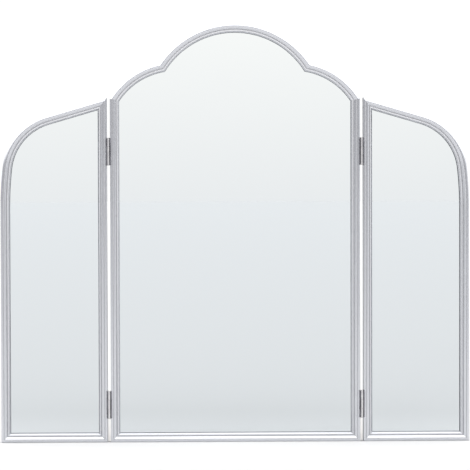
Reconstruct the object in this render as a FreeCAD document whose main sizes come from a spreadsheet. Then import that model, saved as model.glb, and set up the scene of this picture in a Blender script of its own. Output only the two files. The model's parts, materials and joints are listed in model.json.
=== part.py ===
import FreeCAD
import Part
import Sketcher
import math
import os
from FreeCAD import Placement, Rotation, Vector

# Trifold vanity mirror: a centre panel with a scalloped, arched top and two hinged wings.
# Millimetres, +Z up, +X to the viewer's right, the mirrors facing -Y. The origin is the middle of the
# footprint, on the surface that the mirror stands on.
# Every frame member is one length of beaded hollow moulding, mitred and welded to its neighbours. The
# centre panel's scalloped top is a single formed member, with no seam in its cusps. The left-hand
# members and hinges are modelled, and the right-hand ones mirror them. The hinges' screws are small
# fasteners and are left out.

SIZES = {
    # Centre panel, seen from the front
    "panel_width": 348.0,
    "stile_height": 478.5,         # outer face of the stile, up to the shoulder arch
    "crown_rise": 104.5,           # from there to the top of the crown arch
    "cusp_half_width": 105.0,      # middle of the panel to where crown and shoulder meet
    "crown_radius": 127.0,
    "shoulder_radius": 107.0,
    # Wings
    "wing_width": 148.0,
    "wing_lift": 1.0,              # the wing's hinge side stands this much higher than the stile
    "wing_slope": 16.3,            # fall of the top towards the outer side, in degrees
    "bow_radius": 85.0,            # bend between the sloping top and the outer side
    "bow_lean": 6.5,               # lean from upright where that bend runs into the side's slow curve
    "side_radius": 500.0,
    "panel_gap": 4.4,              # between a wing and the centre panel
    # Moulding section: across the face from its outer side, and back from its front
    "face_width": 12.5,
    "frame_depth": 18.0,
    "tube_width": 9.0,             # the hollow part, beside the pane
    "seat_depth": 7.5,             # front of the bead to the glass
    "bead_rise": 1.5,              # height of the bead's round over its edges
    "groove_width": 1.4,
    "groove_depth": 3.2,
    "lip_land": 1.5,               # flat front of the lip
    "lip_bevel": 1.8,              # its slope towards the pane
    "lip_drop": 1.9,               # front of the bead to the front of the lip
    "chamber_wall": 1.4,
    # What lies in each frame
    "pane_clearance": 0.5,
    "glass_thickness": 3.0,
    "foam_thickness": 1.0,
    "board_thickness": 3.0,
    "tab_thickness": 0.8,
    "tab_width": 10.0,
    "tab_reach": 6.0,
    "tab_foot": 3.0,
    "tab_standoff": 0.15,          # a flat foot against a curved wall
    # Hinges
    "hinge_length": 38.0,
    "lower_hinge_rise": 52.5,      # floor to the middle of the lower hinge
    "upper_hinge_drop": 73.5,      # top of the stile down to the middle of the upper hinge
    "axis_lead": 0.5,              # the axis lies this far in front of the moulding
    "barrel_diameter": 5.0,
    "pin_diameter": 2.2,
    "pin_clearance": 0.05,
    "pin_end": 0.6,                # how far the pin stands out of the barrel at each end
    "knuckle_count": 3.0,
    "knuckle_gap": 0.3,
    "leaf_thickness": 1.2,
    "leaf_depth": 14.0,
}

SAW_REACH = 2.0                    # a mitre's waste is cleared this many face widths past the joint
ARCH_ALLOWANCE = 3.0               # degrees of bent length left beyond each mitre before sawing
CUSP_TOLERANCE = 0.03              # mm by which arches of unequal radius may miss along a straight mitre

# Where the tabs sit: shares of the height of the side that they are on, and degrees from upright
CENTRE_SIDE_TABS = (0.2, 0.75)
WING_HINGE_TABS = (0.3, 0.7)
WING_OUTER_TABS = (0.2, 0.6)
CROWN_TAB_TURN = 30.0

DOC = FreeCAD.newDocument("trifold_vanity_mirror")


def make_sheet():
    sheet = DOC.addObject("Spreadsheet::Sheet", "Sizes")
    for row, (name, value) in enumerate(SIZES.items(), start=1):
        sheet.set(f"A{row}", name)
        sheet.set(f"B{row}", str(value))
        sheet.setAlias(f"B{row}", name)
    DOC.recompute()
    return sheet


SHEET = make_sheet()


def size(name):
    return float(SHEET.get(name))


# ---------------------------------------------------------------- outlines of the panels
# Points of an outline are vectors in the XZ plane. Every outline runs parallel to the panel's outer
# edge, at the given inset.

CROWN_HEIGHT = size("stile_height") + size("crown_rise") - size("crown_radius")
WING_HEIGHT = size("stile_height") + size("wing_lift")
HALF_PANEL = size("panel_width") / 2
WING_HINGE_X = -(HALF_PANEL + size("panel_gap"))
WING_OUTER_X = WING_HINGE_X - size("wing_width")
BARREL_FRONT = size("axis_lead") + size("barrel_diameter") / 2
FRONT_Y = (BARREL_FRONT - size("frame_depth")) / 2
FRONT = "(Sizes.axis_lead + Sizes.barrel_diameter / 2 - Sizes.frame_depth) / 2"
PANE_INSET = "Sizes.tube_width + Sizes.pane_clearance"
WING_RISE = "Sizes.stile_height + Sizes.wing_lift"
HINGE_RISES = {"lower": "Sizes.lower_hinge_rise", "upper": "Sizes.stile_height - Sizes.upper_hinge_drop"}


def polar(radius, degrees):
    angle = math.radians(degrees)
    return Vector(radius * math.cos(angle), 0, radius * math.sin(angle))


def bearing(centre, point):
    """Angle of a point seen from a centre, anticlockwise from +X, in degrees from 0 to 360."""
    return math.degrees(math.atan2(point.z - centre.z, point.x - centre.x)) % 360


def shoulder_centre():
    """Centre of the left shoulder arc, which runs from the cusp down to the top of the stile."""
    cusp_rise = math.sqrt(size("crown_radius") ** 2 - size("cusp_half_width") ** 2)
    cusp = Vector(-size("cusp_half_width"), 0, CROWN_HEIGHT + cusp_rise)
    foot = Vector(-HALF_PANEL, 0, size("stile_height"))
    chord = foot - cusp
    drop = math.sqrt(size("shoulder_radius") ** 2 - (chord.Length / 2) ** 2)
    inward = Vector(-chord.z, 0, chord.x).normalize()
    return (cusp + foot) / 2 + inward * drop


CROWN = Vector(0, 0, CROWN_HEIGHT)
SHOULDER = shoulder_centre()


def centre_corners(inset):
    """Corners of the left half of the centre panel: bottom, top of the stile and cusp."""
    crown_radius = size("crown_radius") - inset
    shoulder_radius = size("shoulder_radius") - inset
    side = -(HALF_PANEL - inset)
    bottom = Vector(side, 0, inset)
    rise = math.sqrt(shoulder_radius ** 2 - (side - SHOULDER.x) ** 2)
    stile_top = Vector(side, 0, SHOULDER.z + rise)
    # The cusp is the upper crossing of the two circles, beyond the line that joins their centres.
    link = CROWN - SHOULDER
    along = (shoulder_radius ** 2 - crown_radius ** 2 + link.Length ** 2) / (2 * link.Length)
    aside = math.sqrt(shoulder_radius ** 2 - along ** 2)
    unit = Vector(link).normalize()
    cusp = SHOULDER + unit * along + Vector(-unit.z, 0, unit.x) * aside
    return bottom, stile_top, cusp


def bow_centres():
    """Centres of the wing's bow bend and of the slow curve below it, for the left wing."""
    turn = 180 - size("bow_lean")
    slope = size("wing_slope")
    side = Vector(WING_OUTER_X + size("side_radius"), 0, 0)
    bow = side + polar(size("side_radius") - size("bow_radius"), turn)
    touch = bow + polar(size("bow_radius"), 90 + slope)
    top = WING_HEIGHT - (WING_HINGE_X - touch.x) * math.tan(math.radians(slope))
    lift = Vector(0, 0, top - touch.z)
    return bow + lift, side + lift


BOW, SIDE = bow_centres()


def wing_corners(inset):
    """Corners of the left wing: outer bottom, hinge-side bottom and hinge-side top."""
    slope = math.radians(size("wing_slope"))
    top = WING_HEIGHT - inset * math.tan(slope) - inset / math.cos(slope)
    outer_bottom = Vector(WING_OUTER_X + inset, 0, inset)
    hinge_bottom = Vector(WING_HINGE_X - inset, 0, inset)
    return outer_bottom, hinge_bottom, Vector(WING_HINGE_X - inset, 0, top)


def bow_touches(inset):
    """Where the wing's top runs into the bend, the bend into the slow curve, and that into the side."""
    bend = size("bow_radius") - inset
    slow = size("side_radius") - inset
    turn = 180 - size("bow_lean")
    return BOW + polar(bend, 90 + size("wing_slope")), BOW + polar(bend, turn), SIDE + polar(slow, 180)


# ---------------------------------------------------------------- sketching helpers

def new_body(label, place=Placement()):
    body = DOC.addObject("PartDesign::Body", label)
    body.Label = label
    body.Placement = place
    return body


def origin_feature(body, role):
    return next(feature for feature in body.Origin.OriginFeatures if feature.Role == role)


def new_sketch(body, name, plane):
    sketch = body.newObject("Sketcher::SketchObject", name)
    sketch.AttachmentSupport = [(origin_feature(body, plane), "")]
    sketch.MapMode = "FlatFace"
    return sketch


def dimension(sketch, name, kind, points, expression):
    """Adds a dimension whose value comes from the sheet."""
    value = float(sketch.evalExpression(expression))
    if kind == "Angle":
        value = math.radians(value)
    index = sketch.addConstraint(Sketcher.Constraint(kind, *points, value))
    sketch.renameConstraint(index, name)
    sketch.setExpression("Constraints." + name, expression)


def sideways(sketch, name, item, vertex, side, expression):
    """Dimension across from the origin to a point that lies on its +x or -x side."""
    points = (-1, 1, item, vertex) if side > 0 else (item, vertex, -1, 1)
    dimension(sketch, name, "DistanceX", points, expression)


def add_line(sketch, start, end):
    return sketch.addGeometry(Part.LineSegment(Vector(*start, 0), Vector(*end, 0)))


def add_arc(sketch, centre, start, end):
    """Anticlockwise arc about a centre, all given as sketch coordinates."""
    radius = math.hypot(start[0] - centre[0], start[1] - centre[1])
    first = math.atan2(start[1] - centre[1], start[0] - centre[0])
    last = math.atan2(end[1] - centre[1], end[0] - centre[0])
    if last <= first:
        last += 2 * math.pi
    circle = Part.Circle(Vector(*centre, 0), Vector(0, 0, 1), radius)
    return sketch.addGeometry(Part.ArcOfCircle(circle, first, last))


def close_chain(sketch, edges, smooth=()):
    """Joins the end of each edge to the start of the next one, round to the first.

    The edges named in smooth run tangent into the one that follows them.
    """
    for here, there in zip(edges, edges[1:] + edges[:1]):
        kind = "Tangent" if here in smooth else "Coincident"
        sketch.addConstraint(Sketcher.Constraint(kind, here, 2, there, 1))


def add_polygon(sketch, points):
    edges = [add_line(sketch, here, there) for here, there in zip(points, points[1:] + points[:1])]
    close_chain(sketch, edges)
    return edges


def level(sketch, horizontal, vertical):
    for edge in horizontal:
        sketch.addConstraint(Sketcher.Constraint("Horizontal", edge))
    for edge in vertical:
        sketch.addConstraint(Sketcher.Constraint("Vertical", edge))


def pad(body, sketch, name, length, side_type="One side", backwards=False):
    feature = body.newObject("PartDesign::Pad", name)
    feature.Profile = sketch
    feature.SideType = side_type
    feature.Reversed = backwards
    feature.setExpression("Length", length)
    return feature


def pocket_through(body, sketch, name):
    feature = body.newObject("PartDesign::Pocket", name)
    feature.Profile = sketch
    feature.Type = "ThroughAll"
    feature.SideType = "Symmetric"
    return feature


def mirrored(source, label):
    """Twin of a left-hand piece on the right-hand side."""
    twin = DOC.addObject("Part::Mirroring", label)
    twin.Label = label
    twin.Source = source
    twin.Base = Vector(0, 0, 0)
    twin.Normal = Vector(1, 0, 0)
    return twin


def shape_node(label, shape):
    node = DOC.addObject("Part::Feature", label)
    node.Label = label
    node.Shape = shape
    return node


# ---------------------------------------------------------------- the moulding

def moulding_profile(body, arch_radius=None):
    """Section of the moulding on the body's XY plane: x inwards from the outer side, y back.

    From the outer side it runs over a broad bead, down into a groove, and up to the bevelled lip that
    the pane rests against. For an arch the origin is the centre of the bend, so the outer side lies
    at minus its radius.
    """
    outer = -size(arch_radius) if arch_radius else 0.0
    depth, seat, groove = size("frame_depth"), size("seat_depth"), size("groove_depth")
    bead_width = size("face_width") - size("groove_width") - size("lip_land") - size("lip_bevel")
    rise = size("bead_rise")
    bead_radius = (bead_width ** 2 / 4 + rise ** 2) / (2 * rise)
    bead_x, sight_x, rebate_x = outer + bead_width, outer + size("face_width"), outer + size("tube_width")
    lip_x, bevel_x = bead_x + size("groove_width"), sight_x - size("lip_bevel")
    lip_y, bevel_y = size("lip_drop"), size("lip_drop") + size("lip_bevel")

    sketch = new_sketch(body, body.Label + "_section", "XY_Plane")
    side = add_line(sketch, (outer, depth), (outer, rise))
    bead = add_arc(sketch, (outer + bead_width / 2, bead_radius), (outer, rise), (bead_x, rise))
    bead_wall = add_line(sketch, (bead_x, rise), (bead_x, groove))
    floor = add_line(sketch, (bead_x, groove), (lip_x, groove))
    lip_wall = add_line(sketch, (lip_x, groove), (lip_x, lip_y))
    land = add_line(sketch, (lip_x, lip_y), (bevel_x, lip_y))
    bevel = add_line(sketch, (bevel_x, lip_y), (sight_x, bevel_y))
    sight = add_line(sketch, (sight_x, bevel_y), (sight_x, seat))
    rest = add_line(sketch, (sight_x, seat), (rebate_x, seat))
    rebate = add_line(sketch, (rebate_x, seat), (rebate_x, depth))
    back = add_line(sketch, (rebate_x, depth), (outer, depth))
    close_chain(sketch, [side, bead, bead_wall, floor, lip_wall, land, bevel, sight, rest, rebate, back])
    level(sketch, [floor, land, rest, back], [side, bead_wall, lip_wall, sight, rebate])
    if arch_radius:
        dimension(sketch, "arch_radius", "DistanceX", (side, 1, -1, 1), "Sizes." + arch_radius)
    else:
        sketch.addConstraint(Sketcher.Constraint("PointOnObject", side, 1, -2))
    dimension(sketch, "face_width", "DistanceX", (side, 1, sight, 1), "Sizes.face_width")
    dimension(sketch, "tube_width", "DistanceX", (side, 1, rebate, 1), "Sizes.tube_width")
    dimension(sketch, "frame_depth", "DistanceY", (-1, 1, side, 1), "Sizes.frame_depth")
    dimension(sketch, "seat_depth", "DistanceY", (-1, 1, rest, 1), "Sizes.seat_depth")
    dimension(sketch, "bead_rise", "DistanceY", (-1, 1, side, 2), "Sizes.bead_rise")
    sketch.addConstraint(Sketcher.Constraint("Horizontal", bead, 1, bead, 2))
    dimension(sketch, "bead_width", "DistanceX", (bead, 1, bead, 2),
              "Sizes.face_width - Sizes.groove_width - Sizes.lip_land - Sizes.lip_bevel")
    dimension(sketch, "bead_radius", "Radius", (bead,),
              "(.Constraints.bead_width ^ 2 / 4 + Sizes.bead_rise ^ 2 * 1 mm^2) / (2 mm * Sizes.bead_rise)")
    dimension(sketch, "groove_width", "DistanceX", (floor, 1, floor, 2), "Sizes.groove_width")
    dimension(sketch, "groove_depth", "DistanceY", (-1, 1, floor, 1), "Sizes.groove_depth")
    dimension(sketch, "lip_drop", "DistanceY", (-1, 1, land, 1), "Sizes.lip_drop")
    dimension(sketch, "bevel_width", "DistanceX", (bevel, 1, bevel, 2), "Sizes.lip_bevel")
    dimension(sketch, "bevel_fall", "DistanceY", (bevel, 1, bevel, 2), "Sizes.lip_bevel")

    wall = size("chamber_wall")
    left, right, front, rear = outer + wall, rebate_x - wall, groove + wall, depth - wall
    corners = [(left, front), (right, front), (right, rear), (left, rear)]
    chamber = add_polygon(sketch, corners)
    level(sketch, [chamber[0], chamber[2]], [chamber[1], chamber[3]])
    dimension(sketch, "outer_wall", "DistanceX", (side, 1, chamber[0], 1), "Sizes.chamber_wall")
    dimension(sketch, "rebate_wall", "DistanceX", (chamber[1], 1, rebate, 1), "Sizes.chamber_wall")
    dimension(sketch, "rear_wall", "DistanceY", (chamber[2], 1, side, 1), "Sizes.chamber_wall")
    dimension(sketch, "front_wall", "DistanceY", (floor, 1, chamber[0], 1), "Sizes.chamber_wall")
    return sketch


def frame_place(x, z, turn):
    """Place of a member whose section is turned about Y: 0 keeps x inwards to the right, z up."""
    return Placement(Vector(x, FRONT_Y, z), Rotation(Vector(0, 1, 0), turn))


def straight_member(label, place, length):
    body = new_body(label, place)
    body.setExpression("Placement.Base.y", FRONT)
    pad(body, moulding_profile(body), label + "_length", length)
    return body


def bent_member(label, centre, radius, ends):
    """Arch bent about a centre, long enough to reach every one of the given corner points."""
    bearings = [bearing(centre, point) for point in ends]
    middle = (max(bearings) + min(bearings)) / 2
    body = new_body(label, frame_place(centre.x, centre.z, 180 - middle))
    body.setExpression("Placement.Base.y", FRONT)
    arch = body.newObject("PartDesign::Revolution", label + "_bend")
    arch.Profile = moulding_profile(body, radius)
    arch.ReferenceAxis = (origin_feature(body, "Y_Axis"), [""])
    arch.Midplane = True
    arch.Angle = max(bearings) - min(bearings) + 2 * ARCH_ALLOWANCE
    return body


def saw_mitre(body, name, outer, inner, waste):
    """Saws the member along the line from its outer to its inner corner and drops the waste side."""
    along = (inner - outer).normalize()
    across = Vector(-along.z, 0, along.x)
    if across.dot(waste - outer) < 0:
        across = across * -1
    reach = SAW_REACH * size("face_width")
    start, end = outer - along * reach, inner + along * reach
    to_body = body.Placement.inverse()
    points = [to_body.multVec(Vector(point.x, FRONT_Y, point.z))
              for point in (start, end, end + across * reach, start + across * reach)]
    sketch = new_sketch(body, name, "XZ_Plane")
    add_polygon(sketch, [(point.x, point.z) for point in points])
    return pocket_through(body, sketch, name + "_cut")


def centre_frame():
    outer, inner = centre_corners(0), centre_corners(size("face_width"))
    middle = Vector(0, 0, 0)
    bottom_rail = straight_member("center_bottom_rail", frame_place(HALF_PANEL, 0, -90),
                                  "Sizes.panel_width")
    stile = straight_member("center_left_stile", frame_place(-HALF_PANEL, 0, 0),
                            "Sizes.stile_height")
    shoulder = bent_member("left_shoulder_arch", SHOULDER, "shoulder_radius",
                           [outer[1], inner[1], outer[2], inner[2]])
    mirrored_cusps = [Vector(-point.x, 0, point.z) for point in (outer[2], inner[2])]
    crown = bent_member("crown_arch", CROWN, "crown_radius",
                        [outer[2], inner[2]] + mirrored_cusps)

    for side in (-1, 1):
        name = "left" if side < 0 else "right"
        corner = [Vector(-side * point.x, 0, point.z) for point in (outer[0], inner[0])]
        waste = Vector(corner[0].x, 0, inner[0].z)
        saw_mitre(bottom_rail, f"bottom_rail_{name}_mitre", *corner, waste)
        cusp = [Vector(-side * point.x, 0, point.z) for point in (outer[2], inner[2])]
        waste = Vector(cusp[0].x * 2, 0, cusp[0].z)
        saw_mitre(crown, f"crown_{name}_mitre", *cusp, waste)
    saw_mitre(stile, "stile_bottom_mitre", outer[0], inner[0], middle)
    saw_mitre(stile, "stile_top_mitre", outer[1], inner[1], CROWN)
    saw_mitre(shoulder, "shoulder_foot_mitre", outer[1], inner[1], outer[0])
    saw_mitre(shoulder, "shoulder_cusp_mitre", outer[2], inner[2], CROWN)
    return bottom_rail, stile, scalloped_top(crown, shoulder)


def scalloped_top(crown, shoulder):
    """Crown and shoulders made into one solid."""
    other_shoulder = mirrored(shoulder, "right_shoulder_arch")
    DOC.recompute()
    joined = crown.Shape.fuse([shoulder.Shape, other_shoulder.Shape], CUSP_TOLERANCE)
    return shape_node("center_scalloped_top", joined.removeSplitter())


def bow_member(label):
    """The wing's outer side and its rounded, sloping top, bent from one length."""
    body = new_body(label, frame_place(WING_OUTER_X, 0, 0))
    body.setExpression("Placement.Base.y", FRONT)
    profile = moulding_profile(body)
    path = new_sketch(body, label + "_path", "XZ_Plane")
    foot = Vector(WING_OUTER_X, 0, 0)
    top = wing_corners(0)[2]

    def flat(point):
        return (point.x - foot.x, point.z)

    to_top, to_slow, to_side = [flat(point) for point in bow_touches(0)]
    rise = add_line(path, flat(foot), to_side)
    slow = add_arc(path, flat(SIDE), to_slow, to_side)
    bend = add_arc(path, flat(BOW), to_top, to_slow)
    slope = add_line(path, to_top, flat(top))
    path.addConstraint(Sketcher.Constraint("Coincident", rise, 1, -1, 1))
    path.addConstraint(Sketcher.Constraint("Vertical", rise))
    path.addConstraint(Sketcher.Constraint("Tangent", rise, 2, slow, 2))
    path.addConstraint(Sketcher.Constraint("Tangent", slow, 1, bend, 2))
    path.addConstraint(Sketcher.Constraint("Tangent", bend, 1, slope, 1))
    dimension(path, "side_radius", "Radius", (slow,), "Sizes.side_radius")
    dimension(path, "bow_radius", "Radius", (bend,), "Sizes.bow_radius")
    dimension(path, "wing_width", "DistanceX", (-1, 1, slope, 2), "Sizes.wing_width")
    dimension(path, "wing_height", "DistanceY", (-1, 1, slope, 2), WING_RISE)
    sweep = body.newObject("PartDesign::AdditivePipe", label + "_sweep")
    sweep.Profile = profile
    sweep.Spine = (path, [])
    return body


def wing_frame(wing):
    outer, inner = wing_corners(0), wing_corners(size("face_width"))
    rail = straight_member(wing + "_bottom_rail", frame_place(WING_HINGE_X, 0, -90),
                           "Sizes.wing_width")
    stile = straight_member(wing + "_hinge_stile",
                            frame_place(WING_HINGE_X, WING_HEIGHT, 180), WING_RISE)
    bow = bow_member(wing + "_bow")
    inside = Vector((WING_HINGE_X + WING_OUTER_X) / 2, 0, WING_HEIGHT / 2)
    above = Vector(WING_HINGE_X, 0, 2 * WING_HEIGHT)
    saw_mitre(rail, "rail_outer_mitre", outer[0], inner[0], Vector(WING_OUTER_X, 0, inner[0].z))
    saw_mitre(rail, "rail_hinge_mitre", outer[1], inner[1], Vector(WING_HINGE_X, 0, inner[1].z))
    saw_mitre(stile, "hinge_stile_bottom_mitre", outer[1], inner[1], Vector(inside.x, 0, 0))
    saw_mitre(stile, "hinge_stile_top_mitre", outer[2], inner[2], Vector(inside.x, 0, above.z))
    saw_mitre(bow, "bow_bottom_mitre", outer[0], inner[0], Vector(inside.x, 0, 0))
    saw_mitre(bow, "bow_top_mitre", outer[2], inner[2], Vector(WING_HINGE_X, 0, 0))
    return rail, stile, bow


# ---------------------------------------------------------------- glass, foam and board

def centre_outline(sketch):
    """Outline of the centre pane, anticlockwise from its bottom left corner."""
    inset = float(sketch.evalExpression(PANE_INSET))
    bottom, stile_top, cusp = [(point.x, point.z) for point in centre_corners(inset)]

    def mirrored(point):
        return (-point[0], point[1])

    sill = add_line(sketch, bottom, mirrored(bottom))
    right = add_line(sketch, mirrored(bottom), mirrored(stile_top))
    right_arc = add_arc(sketch, (-SHOULDER.x, SHOULDER.z), mirrored(stile_top), mirrored(cusp))
    crown = add_arc(sketch, (0, CROWN_HEIGHT), mirrored(cusp), cusp)
    left_arc = add_arc(sketch, (SHOULDER.x, SHOULDER.z), cusp, stile_top)
    left = add_line(sketch, stile_top, bottom)
    close_chain(sketch, [sill, right, right_arc, crown, left_arc, left])
    level(sketch, [sill], [right, left])
    half = f"Sizes.panel_width / 2 - ({PANE_INSET})"
    dimension(sketch, "sill_height", "DistanceY", (-1, 1, sill, 1), PANE_INSET)
    sideways(sketch, "right_side", right, 1, 1, half)
    sideways(sketch, "left_side", left, 1, -1, half)
    dimension(sketch, "crown_arc", "Radius", (crown,), f"Sizes.crown_radius - ({PANE_INSET})")
    sketch.addConstraint(Sketcher.Constraint("PointOnObject", crown, 3, -2))
    dimension(sketch, "crown_height", "DistanceY", (-1, 1, crown, 3),
              "Sizes.stile_height + Sizes.crown_rise - Sizes.crown_radius")
    for name, arc, side in (("right", right_arc, 1), ("left", left_arc, -1)):
        dimension(sketch, name + "_arc", "Radius", (arc,), f"Sizes.shoulder_radius - ({PANE_INSET})")
        sideways(sketch, name + "_arc_centre", arc, 3, side, str(-SHOULDER.x))
        sketch.addConstraint(Sketcher.Constraint("DistanceY", -1, 1, arc, 3, SHOULDER.z))


def wing_outline(sketch):
    """Outline of the left wing's pane, anticlockwise from its outer bottom corner."""
    inset = float(sketch.evalExpression(PANE_INSET))
    outer_bottom, hinge_bottom, hinge_top = [(p.x, p.z) for p in wing_corners(inset)]
    to_top, to_slow, to_side = [(p.x, p.z) for p in bow_touches(inset)]
    sill = add_line(sketch, outer_bottom, hinge_bottom)
    hinge_side = add_line(sketch, hinge_bottom, hinge_top)
    slope = add_line(sketch, hinge_top, to_top)
    bend = add_arc(sketch, (BOW.x, BOW.z), to_top, to_slow)
    slow = add_arc(sketch, (SIDE.x, SIDE.z), to_slow, to_side)
    outer_side = add_line(sketch, to_side, outer_bottom)
    close_chain(sketch, [sill, hinge_side, slope, bend, slow, outer_side], smooth=[slope, bend, slow])
    level(sketch, [sill], [hinge_side, outer_side])
    edge = "Sizes.panel_width / 2 + Sizes.panel_gap"
    dimension(sketch, "sill_height", "DistanceY", (-1, 1, sill, 1), PANE_INSET)
    dimension(sketch, "hinge_side", "DistanceX", (hinge_side, 1, -1, 1), f"{edge} + {PANE_INSET}")
    dimension(sketch, "outer_side", "DistanceX", (outer_side, 1, -1, 1),
              f"{edge} + Sizes.wing_width - ({PANE_INSET})")
    dimension(sketch, "bend", "Radius", (bend,), f"Sizes.bow_radius - ({PANE_INSET})")
    dimension(sketch, "slow_curve", "Radius", (slow,), f"Sizes.side_radius - ({PANE_INSET})")
    sketch.addConstraint(Sketcher.Constraint("DistanceY", -1, 1, bend, 3, BOW.z))
    sketch.addConstraint(Sketcher.Constraint("DistanceY", -1, 1, hinge_side, 2, hinge_top[1]))


def sheet_stack(panel, outline):
    """Mirror glass against the lip, then a soft interleaf, then the stiff board."""
    depth = FRONT + " + Sizes.seat_depth"
    names = {"glass": "_mirror_glass", "foam": "_foam_sheet", "board": "_backing_board"}
    layers = []
    for layer in names:
        label = panel + names[layer]
        body = new_body(label)
        body.setExpression("Placement.Base.y", depth)
        sketch = new_sketch(body, label + "_outline", "XZ_Plane")
        outline(sketch)
        pad(body, sketch, label + "_thickness", f"Sizes.{layer}_thickness", backwards=True)
        depth += f" + Sizes.{layer}_thickness"
        layers.append(body)
    return layers


# ---------------------------------------------------------------- tabs behind the board

def tab_blank():
    """Bent tab: a foot on the rebate wall and an arm over the board. x inwards, y back from the board."""
    body = new_body("tab_blank")
    sketch = new_sketch(body, "tab_section", "XY_Plane")
    thick, reach, foot = size("tab_thickness"), size("tab_reach"), size("tab_foot")
    corners = [(0, 0), (reach, 0), (reach, thick), (thick, thick), (thick, foot), (0, foot)]
    edges = add_polygon(sketch, corners)
    level(sketch, [edges[0], edges[2], edges[4]], [edges[1], edges[3], edges[5]])
    sketch.addConstraint(Sketcher.Constraint("Coincident", edges[0], 1, -1, 1))
    dimension(sketch, "reach", "DistanceX", (-1, 1, edges[1], 1), "Sizes.tab_reach")
    dimension(sketch, "arm", "DistanceY", (-1, 1, edges[2], 1), "Sizes.tab_thickness")
    dimension(sketch, "leg", "DistanceX", (-1, 1, edges[3], 1), "Sizes.tab_thickness")
    dimension(sketch, "foot", "DistanceY", (-1, 1, edges[4], 1), "Sizes.tab_foot")
    pad(body, sketch, "tab_strip", "Sizes.tab_width", side_type="Symmetric")
    return body


def tab_group(label, blank, stations):
    """One tab for each station: a point on the rebate wall and the bearing of its inward side."""
    depth = FRONT_Y + sum(size(name) for name in (
        "seat_depth", "glass_thickness", "foam_thickness", "board_thickness"))
    tabs = []
    for point, inward in stations:
        start = point + polar(size("tab_standoff"), inward)
        tab = blank.Shape.copy()
        tab.Placement = Placement(Vector(start.x, depth, start.z), Rotation(Vector(0, 1, 0), -inward))
        tabs.append(tab)
    return shape_node(label, Part.makeCompound(tabs))


def centre_tab_stations():
    wall = size("tube_width")
    side, half = HALF_PANEL - wall, HALF_PANEL / 2
    stations = [(Vector(x, 0, wall), 90) for x in (-half, half)]
    for share in CENTRE_SIDE_TABS:
        height = share * size("stile_height")
        stations += [(Vector(-side, 0, height), 0), (Vector(side, 0, height), 180)]
    ends = [bearing(SHOULDER, point) for point in centre_corners(0)[1:]]
    shoulder_bearing = sum(ends) / 2
    shoulder_point = SHOULDER + polar(size("shoulder_radius") - wall, shoulder_bearing)
    stations.append((shoulder_point, shoulder_bearing + 180))
    stations.append((Vector(-shoulder_point.x, 0, shoulder_point.z), -shoulder_bearing))
    for crown_bearing in (90 - CROWN_TAB_TURN, 90 + CROWN_TAB_TURN):
        point = CROWN + polar(size("crown_radius") - wall, crown_bearing)
        stations.append((point, crown_bearing + 180))
    return stations


def wing_tab_stations():
    wall = size("tube_width")
    outer_bottom, hinge_bottom, hinge_top = wing_corners(wall)
    stations = [((outer_bottom + hinge_bottom) / 2, 90)]
    for share in WING_HINGE_TABS:
        height = share * WING_HEIGHT
        stations.append((Vector(hinge_bottom.x, 0, height), 180))
    for share in WING_OUTER_TABS:
        stations.append((Vector(outer_bottom.x, 0, share * SIDE.z), 0))
    stations.append(((hinge_top + bow_touches(wall)[0]) / 2, 270 + size("wing_slope")))
    return stations


# ---------------------------------------------------------------- hinges

def knuckle_spans(moving):
    """Bottom and top of every knuckle of one leaf. Even knuckles, counted from 0, are the fixed leaf's."""
    count = round(size("knuckle_count"))
    gap = size("knuckle_gap")
    length = (size("hinge_length") - (count - 1) * gap) / count
    bottom = -size("hinge_length") / 2
    return [(bottom + n * (length + gap), bottom + n * (length + gap) + length)
            for n in range(count) if n % 2 == moving]


def hinge_body(label, rise):
    """Body with its origin on the left hinge axis, at a hinge's middle."""
    body = new_body(label)
    body.setExpression("Placement.Base.x", "-(Sizes.panel_width + Sizes.panel_gap) / 2")
    body.setExpression("Placement.Base.y", FRONT + " - Sizes.axis_lead")
    body.setExpression("Placement.Base.z", rise)
    return body


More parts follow.
